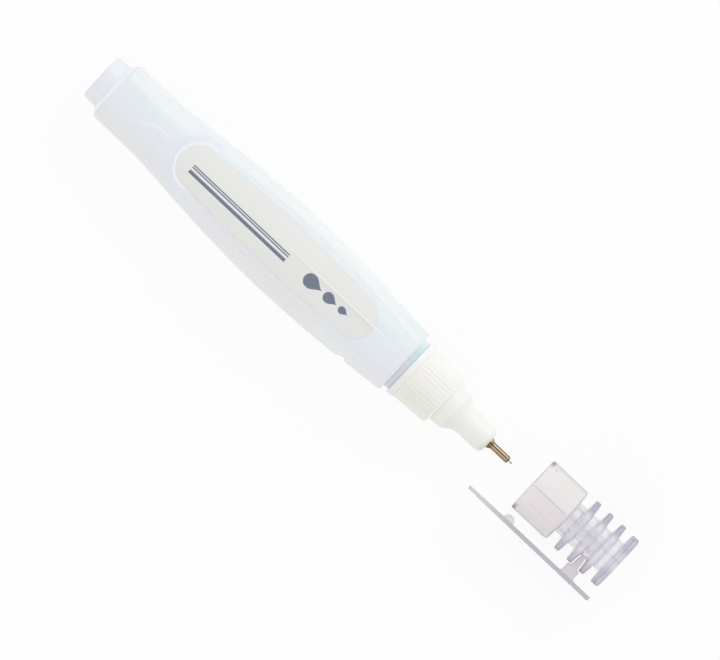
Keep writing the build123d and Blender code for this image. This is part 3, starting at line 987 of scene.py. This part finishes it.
# %% Fluted tip
tip_low, tip_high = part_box("tip_housing")
tip_back = tip_low.x - shoulder_x
tip_end = tip_high.x - shoulder_x
tip_length = 6.1 * mm
tip_foot = tip_end - tip_length
flare_radius = (tip_high.y - tip_low.y) / 2
flare_step = 0.13 * mm
flare_start = tip_foot + 0.25 * mm
flare_end = tip_foot + 1.1 * mm
flare_round = 0.5 * mm
shank_radius = flare_radius - flare_step
tube_radius = 0.9 * mm
tip_bore_radius = 0.62 * mm
orifice_radius = 0.36 * mm
orifice_length = 0.8 * mm
orifice_cone_end = 1.4 * mm
tip_bevel = 0.3 * mm
flute_depth = 0.05 * mm
flute_start, flute_full = tip_foot + 0.9 * mm, tip_foot + 1.6 * mm
flute_run_out = 0.5 * mm
tip_spacing = 0.25 * mm
points_per_flute = 16


def tip_shape(x, radius, turn):
    if radius < tip_bore_radius + just_off:
        return radius
    on_tube = smooth(x, flute_start, flute_full) * (1 - smooth(x, tip_end - flute_run_out, tip_end))
    return radius - flute_depth * on_tube * smooth(-math.cos((turn - flute_turn) * flute_count), 0.0, 0.8)


tip_profile = rounded(
    [
        (tip_back, tip_bore_radius),
        (tip_back, shank_radius),
        (tip_foot, shank_radius),
        (tip_foot, flare_radius),
        (flare_start, flare_radius, flare_step),
        (flare_end, tube_radius, flare_round),
        (tip_end - tip_bevel, tube_radius),
        (tip_end, tube_radius - tip_bevel),
        (tip_end, orifice_radius),
        (tip_end - orifice_length, orifice_radius),
        (tip_end - orifice_cone_end, tip_bore_radius),
    ]
)
tip_outline = divided(tip_profile, tip_spacing)
tip_rings = turned_rings(tip_outline, flute_count * points_per_flute, tip_shape)
fluted_tip = skin("fluted_tip", tip_rings, "nozzle", "tip", drawn_metal, closed=True)
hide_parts("tip_housing")

# %% [markdown]
# Inside the nozzle a coil spring presses the needle forward, which keeps the tip shut. A round wire follows
# a screw line, so a small ring of points is carried along that line and turned square to it. When the tip
# is pressed on paper the needle slides back and the spring gets shorter.

# %% Coil spring
wire_radius = 0.15 * mm
coil_turns = 6.5
rings_per_turn = 36
wire_points = 10
spring_low, spring_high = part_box("needle_spring")
spring_length = spring_high.x - spring_low.x
coil_radius = (spring_high.y - spring_low.y) / 2 - wire_radius


def coil_rings():
    start = spring_low.x - shoulder_x + wire_radius
    slope = (spring_length - 2 * wire_radius) / (2 * math.pi * coil_turns)
    count = round(rings_per_turn * coil_turns)
    rings = []
    for i in range(count + 1):
        turn = 2 * math.pi * i / rings_per_turn
        outward = Vector((0, math.cos(turn), math.sin(turn)))
        heading = Vector((slope, -coil_radius * math.sin(turn), coil_radius * math.cos(turn))).normalized()
        sideways = heading.cross(outward)
        middle = Vector((start + slope * turn, 0, 0)) + outward * coil_radius
        ring = []
        for j in range(wire_points):
            around = 2 * math.pi * j / wire_points
            spoke = outward * math.cos(around) + sideways * math.sin(around)
            ring.append(on_pen(*(middle + spoke * wire_radius)))
        rings.append(ring)
    return rings


coiled_spring = skin("coiled_spring", coil_rings(), "nozzle", "steel", steel)
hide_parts("needle_spring")
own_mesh(coiled_spring)

# %% [markdown]
# The gasket under the nozzle is a pale rubber washer: dull, a little dusty, with no shine.

# %% Pale rubber
def pale_rubber():
    material, shader, place = new_finish("pale rubber", {"Specular IOR Level": 0.2})
    dust = cloud(place, 0.6, 3.0)
    colour = mix(dust, rgb(0.70, 0.70, 0.68), rgb(0.80, 0.80, 0.78))
    feed(shader, base_color=colour, roughness=0.75 + 0.15 * dust, normal=bump(dust, 0.02, 0.6))
    return material


nodes["neck_gasket"].data.materials[0] = pale_rubber()
print("rubber made")

# %% [markdown]
# Cap and clip are clear plastic with a breath of violet. Their finish mixes two shaders: a clear one, and a
# milky one for frost. The frost lies on the outside only: light that is already in the plastic meets clear
# walls, and gets out. At its edges clear plastic shows the dark of the room, so there the milky shader is
# painted violet-grey, a painted dark reflection. How much there is of each is a function of the place,
# given by the piece.

# %% Clear plastic
def clear_plastic(name, frost, milk_share, painted_dark_edge_share, milk_colour, painted_dark_edge_colour, depth_colour, depth):
    """Clear plastic whose frost, milkiness and painted dark edges are functions of the place on the piece.
    """
    material, shader, place = new_finish(
        name, {"Transmission Weight": 1.0, "IOR": 1.49, "Specular IOR Level": 0.5}
    )
    tree = material.node_tree
    x, y, z = parts_of(place)
    haze = cloud(place, 2.5, 3.0)
    flow = cloud(stretched(place, 0.25, 1.0, 1.0), 1.2, 2.0)
    tinted = mix(haze, rgb(0.965, 0.950, 0.970), rgb(0.995, 0.990, 0.995))
    frosted = frost(x, y)
    feed(
        shader,
        base_color=tinted,
        roughness=0.12 + 0.06 * haze + 0.3 * frosted,
        normal=bump(flow, 0.02, 0.2),
    )
    # Painted dark reflection: grazing edges, and the places each piece gives, turn the milky shader
    # violet-grey.
    grazing = x.add("ShaderNodeLayerWeight", {}, {"Blend": 0.5}, out="Facing")
    edge = x.maths("MINIMUM", painted_dark_edge_share(x, y, grazing), 1.0)
    milk_base = mix(edge, milk_colour(x, y), painted_dark_edge_colour)
    milk_inputs = {"Roughness": 0.5, "Specular IOR Level": 0.3, "Base Color": milk_base}
    milk = x.add("ShaderNodeBsdfPrincipled", {}, milk_inputs)
    outside = 1 - x.add("ShaderNodeNewGeometry", out="Backfacing")
    share = x.maths("MINIMUM", milk_share(x, y) + 0.06 * haze + 0.7 * edge, 0.95) * outside
    blend = x.add("ShaderNodeMixShader", {}, {0: share, 1: Wire(tree, shader.outputs[0]), 2: milk})
    inside = x.add("ShaderNodeVolumeAbsorption", {}, {"Color": depth_colour, "Density": depth})
    output = tree.nodes["Material Output"]
    tree.links.new(blend.socket, output.inputs["Surface"])
    tree.links.new(inside.socket, output.inputs["Volume"])
    return material


print("clear plastic ready")

# %% [markdown]
# The cap's skirt is frosted, and painted paler on the half towards the broad lamp. Its core and fins are
# clear, with painted dark ends where one looks along the plastic. Painted dark lines, standing for shade
# and dark reflections, lie at the mouth's corners, round the end disc, along the skirt's edges and along
# the parting line.

# %% Cap finish
cap_low, cap_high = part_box("cap")
cap_mouth = cap_low.x - shoulder_x
cap_end = cap_high.x - shoulder_x
skirt_length = 11.0 * mm
skirt_end = cap_mouth + skirt_length
disc_thickness = 2.1 * mm
disc_start = cap_end - disc_thickness
first_fin, middle_fin, last_fin = 54.8, 58.7, 62.6
fin_half, fin_soft = 0.5, 0.9
parting_y = 0.3


def on_skirt(x, y):
    return 1 - step(x, skirt_end / mm - 0.8, skirt_end / mm + 0.2)


def on_disc(x):
    return step(x, disc_start / mm - 0.3, disc_start / mm + 0.3)


def beside_core(y):
    """1 on the fins' free ends left and right, 0 over the core."""
    return step(abs(y), 3.1, 5.2)


def on_fin(x):
    """1 on the three fins, 0 between them."""
    off = x.maths("MINIMUM", abs(x - first_fin), abs(x - middle_fin))
    return 1 - step(x.maths("MINIMUM", off, abs(x - last_fin)), fin_half, fin_soft)


def painted_lit_half(y):
    """1 on the half of the skirt towards the broad lamp, which gets painted light."""
    return step(y, -0.3, 0.4)


def cap_painted_dark_edges(x, y, grazing):
    """Painted shade and painted dark reflections: fin ends, skirt edges, parting line, end disc, and darkest
    the mouth's corners.
    """
    skirt = on_skirt(x, y)
    side = beside_core(y)
    # Each term here is painted shade or a painted dark reflection: fins and their ends, skirt edges, low
    # edge, parting line, mouth corners and end disc.
    ends = 0.07 * step(y, 3.0, 5.0) - 0.08 * step(-y, 5.4, 6.8)
    fins = on_fin(x) * (0.34 + 0.44 * side + ends) + (1 - skirt) * side * step(grazing, 0.5, 1.0) * 0.1
    painted_rim = skirt * (step(grazing, 0.72, 0.88) * step(abs(y), 4.0, 6.0) * 0.4 + step(y, 6.0, 7.2) * 0.12)
    low_edge_shade = skirt * step(-y, 6.9, 7.2) * 0.3
    parting = (1 - skirt) * (1 - step(abs(y - parting_y), 0.08, 0.32)) * 0.22
    corner = (1 - step(x, cap_mouth / mm + 0.4, cap_mouth / mm + 1.3)) * step(abs(y), 5.2, 6.8)
    disc = on_disc(x) * (0.42 + 0.3 * step(abs(y), 1.0, 4.0) + 0.08 * step(y, 5.4, 7.0))
    return fins + painted_rim + low_edge_shade + parting + corner + disc


def cap_milk(x, y):
    skirt = on_skirt(x, y)
    # More milk on the lamp's half of the skirt makes it paler: painted light.
    return 0.16 + 0.30 * (1 - skirt) * (1 - beside_core(y)) + skirt * (0.44 + 0.20 * painted_lit_half(y))


def cap_colour(x, y):
    # Painted light: the lamp's half of the skirt paler, its edge away from the lamp lifted paler, and a
    # painted shade line along the edge towards the lamp.
    skirt = mix(painted_lit_half(y), rgb(0.912, 0.855, 0.860), rgb(0.916, 0.874, 0.872))
    away_edge_lit = mix(step(-y, 5.4, 7.0), skirt, rgb(0.985, 0.935, 0.945))
    lamp_edge_shaded = mix(step(y, 6.1, 7.1), away_edge_lit, rgb(0.760, 0.745, 0.690))
    return mix(on_skirt(x, y), rgb(0.950, 0.938, 0.972), lamp_edge_shaded)


cap_plastic = clear_plastic(
    "clear cap plastic",
    on_skirt,
    cap_milk,
    cap_painted_dark_edges,
    cap_colour,
    painted_dark_edge_colour=rgb(0.350, 0.325, 0.470),
    depth_colour=rgb(0.62, 0.52, 0.70),
    depth=20.0,
)
nodes["cap"].data.materials[0] = cap_plastic
print("made", cap_plastic.name)

# %% [markdown]
# The clip is of the same plastic, only thinner. Its bar is clear, pale at the free end and darker along the
# cap. Bump and bridge are lightly frosted and paler than the bar.

# %% Clip finish
bar_fade = (-10.2, -9.8)


def off_bar(x, y):
    """1 on the clip's bump and bridge, 0 on its bar."""
    return step(y, *bar_fade)


def bar_colour(x, y):
    bar = mix(step(x, 32.0, 46.0), rgb(0.680, 0.640, 0.650), rgb(0.425, 0.380, 0.454))
    inner = mix(step(x, 46.0, 56.0), rgb(0.858, 0.850, 0.760), rgb(0.775, 0.687, 0.744))
    return mix(off_bar(x, y), bar, inner)


clip_plastic = clear_plastic(
    "clear clip plastic",
    lambda x, y: off_bar(x, y) * 0.5,
    lambda x, y: 0.45 + 0.05 * off_bar(x, y),
    # Painted dark reflection along the bar's grazing edges.
    lambda x, y, grazing: step(grazing, 0.4, 0.95) * (1 - off_bar(x, y)) * 0.4,
    bar_colour,
    painted_dark_edge_colour=rgb(0.420, 0.385, 0.430),
    depth_colour=rgb(0.60, 0.57, 0.62),
    depth=200.0,
)
print("made", clip_plastic.name)

# %% [markdown]
# The clip is one slim moulding: a long bar that thins towards its free end, a round bump that grips the
# pocket, and a short bridge whose foot sits in the cap's core. Seen along its width it is a single outline,
# so it is drawn once and pushed through the width. Near both faces the outline shrinks a little, which
# rounds every edge as a mould does.

# %% Clear clip
clip_low, clip_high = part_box("pocket_clip")
clip_start = clip_low.x - shoulder_x
clip_end = clip_high.x - shoulder_x
clip_outer = clip_low.y - axis.y
bar_thickness = 1.05 * mm
clip_inner = clip_outer + bar_thickness
clip_half_width = (clip_high.z - clip_low.z) / 2
clip_edge = 0.16 * mm
free_taper = 0.12 * mm
taper_length = 6.0 * mm
bar_end_round = 0.3 * mm
free_end_round, cap_end_round = 1.6 * mm, 0.6 * mm
end_reach = 4 * mm
bump_x = clip_start + 11.9 * mm
bump_radius = 1.4 * mm
bridge_x = cap_mouth + 20.05 * mm
bridge_half = 1.7 * mm
bridge_flare = 0.6 * mm
neck_half = 0.9 * mm
fin_radius = 7.35 * mm
core_radius = 4.35 * mm
foot_radius = clip_high.y - axis.y + core_radius
shoulder_gap = 0.3 * mm
clip_spacing = 0.5 * mm
edge_steps, flat_half_steps = 4, 8


def half_circle(centre_x, centre_y, radius, steps=12):
    """Points over a half circle that bulges towards the cap."""
    turns = [math.pi * (1 - i / steps) for i in range(steps + 1)]
    return [(centre_x + radius * math.cos(turn), centre_y + radius * math.sin(turn)) for turn in turns]


def clip_outline():
    """The clip as a closed outline of (x, y) points: along its inner face, then back along the bar."""
    shoulder_y = -fin_radius - shoulder_gap
    left_side = [
        (bridge_x - bridge_half, clip_inner, bridge_flare),
        (bridge_x - bridge_half, shoulder_y),
        (bridge_x - neck_half, -fin_radius),
    ]
    right_side = [(2 * bridge_x - corner[0], *corner[1:]) for corner in reversed(left_side)]
    corners = [
        (clip_start, clip_outer + free_taper, bar_end_round),
        (clip_start, clip_inner - free_taper, bar_end_round),
        (clip_start + taper_length, clip_inner),
        *half_circle(bump_x, clip_inner, bump_radius),
        *left_side,
        *half_circle(bridge_x, -core_radius, foot_radius),
        *right_side,
        (clip_end, clip_inner, bar_end_round),
        (clip_end, clip_outer, bar_end_round),
        (clip_start + taper_length, clip_outer),
    ]
    return divided(rounded(corners), clip_spacing)


def pulled_in(x, z):
    """A place along the clip, with the bar's two ends rounded as seen from its side."""
    for end, rounding, way in ((clip_start, free_end_round, 1), (clip_end, cap_end_round, -1)):
        past = max(0.0, abs(z) - clip_half_width + rounding)
        drop = rounding - math.sqrt(max(0.0, rounding**2 - past**2))
        x += way * drop * (1 - smooth(abs(x - end), 0, end_reach))
    return x


def clip_rings():
    outline = clip_outline()
    count = len(outline)
    outward = []
    for i in range(count):
        along = outline[(i + 1) % count] - outline[i - 1]
        outward.append(Vector((-along.y, along.x)).normalized())
    levels = []
    for i in range(edge_steps + 1):
        turn = math.pi / 2 * i / edge_steps
        levels.append((clip_half_width - clip_edge * (1 - math.cos(turn)), clip_edge * (1 - math.sin(turn))))
    flat = clip_half_width - clip_edge
    middle = [(flat * (1 - i / flat_half_steps), 0.0) for i in range(1, 2 * flat_half_steps)]
    levels += middle + [(-z, inset) for z, inset in reversed(levels)]
    rings = []
    for z, inset in levels:
        inner = [point - side * inset for point, side in zip(outline, outward)]
        rings.append([on_pen(pulled_in(point.x, z), point.y, z) for point in inner])
    return rings


clear_clip = skin("clear_clip", clip_rings(), "clip", "clear", clip_plastic)
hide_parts("pocket_clip")

# %% [markdown]
# The cap's mould left seams along the skirt: one on top, one underneath, and a fainter one lower down. There
# is also a small mark where the plastic ran in. Each is a low rounded ridge, a few hundredths of a
# millimetre high. In clear plastic such a ridge bends the light away and looks darker than what lies
# around it, so its finish is darker.

# %% Cap seams
skirt_radius = 7.2 * mm
seam_stations = 24
seam_points = 12
seam_sunk = 0.01 * mm


def seam_plastic():
    material, shader, place = new_finish("cap seam plastic", {"IOR": 1.49})
    grain = cloud(place, 0.4, 2.0)
    colour = mix(grain, rgb(0.600, 0.560, 0.595), rgb(0.700, 0.655, 0.685))
    feed(shader, base_color=colour, roughness=0.3 + 0.15 * grain, normal=bump(grain, 0.004, 0.4))
    return material


def seam_rings(degrees, start, end, half_width, height):
    """A long low ridge on the skirt at an angle round it, with tapered ends."""
    rings = []
    for i in range(seam_stations + 1):
        share = i / seam_stations
        x = between(share, start, end)
        rise = height * smooth(min(share, 1 - share), -0.01, 0.06)
        ring = []
        for j in range(seam_points):
            around = 2 * math.pi * j / seam_points
            turn = math.radians(degrees) + half_width / skirt_radius * math.cos(around)
            radius = skirt_radius - seam_sunk + rise * math.sin(around)
            ring.append(on_pen(x, radius * math.cos(turn), radius * math.sin(turn)))
        rings.append(ring)
    return rings


seam_finish = seam_plastic()
seam_start = cap_mouth + 0.5 * mm
seam_end = skirt_end - 0.9 * mm
mark_start = cap_mouth + 1.3 * mm
for name, degrees, start, end, half_width, height in (
    ("cap_seam_top", 90.0, seam_start, seam_end, 0.14 * mm, 0.06 * mm),
    ("cap_seam_low", 122.0, seam_start + 1.5 * mm, seam_end, 0.06 * mm, 0.02 * mm),
    ("cap_seam_under", 270.0, seam_start, seam_end, 0.14 * mm, 0.06 * mm),
    ("cap_gate_mark", 35.0, mark_start, mark_start + 0.9 * mm, 0.22 * mm, 0.08 * mm),
):
    skin(name, seam_rings(degrees, start, end, half_width, height), "cap", "clear", seam_finish)

# %% [markdown]
# The studio is a pale floor under a white sky. A broad lamp hangs high on the side away from the clip, and
# a weaker one, lower on the clip's side, fills the shade. To the camera, and in reflections and through
# clear plastic, sky and floor are plain white. The floor keeps part of its own diffuse light, so the pen's
# soft shadow stays.

# %% Studio
sky_strength = 0.83
floor_half_size = 2.0
floor_drop = 0.2 * mm
floor_share_of_white = 0.88
lamp_size = 0.5


def seen_rays(tree):
    """1 for rays that show the background itself: camera, glossy and transmission rays."""
    path = Wire(tree).add("ShaderNodeLightPath", out="Is Camera Ray")
    rays = [Wire(tree, path.socket.node.outputs[name]) for name in ("Is Glossy Ray", "Is Transmission Ray")]
    return path.maths("MINIMUM", path + rays[0] + rays[1], 1.0)


def white_sky(strength):
    world = bpy.data.worlds.new("white sky")
    bpy.context.scene.world = world
    world.use_nodes = True
    tree = world.node_tree
    seen = seen_rays(tree)
    background = tree.nodes["Background"]
    background.inputs["Color"].default_value = rgb(1.0, 1.0, 1.0)
    tree.links.new((seen * (1 - strength) + strength).socket, background.inputs["Strength"])


def pale_floor(half_size, drop, share_of_white):
    mesh = bpy.data.meshes.new("floor")
    corners = [(-1, -1), (1, -1), (1, 1), (-1, 1)]
    points = [(x * half_size, y * half_size, -drop) for x, y in corners]
    mesh.from_pydata(points, [], [(0, 1, 2, 3)])
    floor = bpy.data.objects.new("floor", mesh)
    bpy.context.scene.collection.objects.link(floor)
    material = bpy.data.materials.new("pale floor")
    material.use_nodes = True
    tree = material.node_tree
    tree.nodes.remove(tree.nodes["Principled BSDF"])
    seen = seen_rays(tree)
    paint = seen.add("ShaderNodeBsdfDiffuse", {}, {"Color": rgb(0.95, 0.95, 0.95)})
    white = seen.add("ShaderNodeEmission", {}, {"Color": rgb(1.0, 1.0, 1.0), "Strength": 1.0})
    blend = seen.add("ShaderNodeMixShader", {}, {0: seen * share_of_white, 1: paint, 2: white})
    tree.links.new(blend.socket, tree.nodes["Material Output"].inputs["Surface"])
    mesh.materials.append(material)


def soft_lamp(name, place, target, size, power):
    lamp = bpy.data.lights.new(name, "AREA")
    lamp.shape = "DISK"
    lamp.size = size
    lamp.energy = power
    lamp_object = bpy.data.objects.new(name, lamp)
    bpy.context.scene.collection.objects.link(lamp_object)
    lamp_object.location = place
    lamp_object.rotation_euler = (Vector(target) - Vector(place)).to_track_quat("-Z", "Y").to_euler()


white_sky(sky_strength)
pale_floor(floor_half_size, floor_drop, floor_share_of_white)
soft_lamp("broad lamp", place=(0.05, 0.80, 0.55), target=(0, 0, 0), size=lamp_size, power=1.5)
soft_lamp("low fill lamp", place=(0.0, -0.80, 0.30), target=(0, 0, 0), size=lamp_size, power=0.9)
bpy.context.scene.view_settings.view_transform = "Standard"
print("studio lit")

# %% [markdown]
# The photograph looks straight down on the pen, which lies slantwise in the picture. So the camera hangs
# above it and turns about the vertical. A long lens keeps the outlines true.

# %% Camera
picture_width = 165.6 * mm
picture_turn = math.radians(43.35)
picture_centre = on_pen(-12.58 * mm, -1.6 * mm, 0)
camera_height = 2.5
camera = bpy.data.cameras.new("camera")
camera.sensor_fit = "HORIZONTAL"
camera.lens = camera.sensor_width * camera_height / picture_width
camera_object = bpy.data.objects.new("camera", camera)
bpy.context.scene.collection.objects.link(camera_object)
camera_object.location = picture_centre + Vector((0, 0, camera_height))
camera_object.rotation_euler = (0, 0, picture_turn)
bpy.context.scene.camera = camera_object
print("lens", round(camera.lens, 1), "mm")
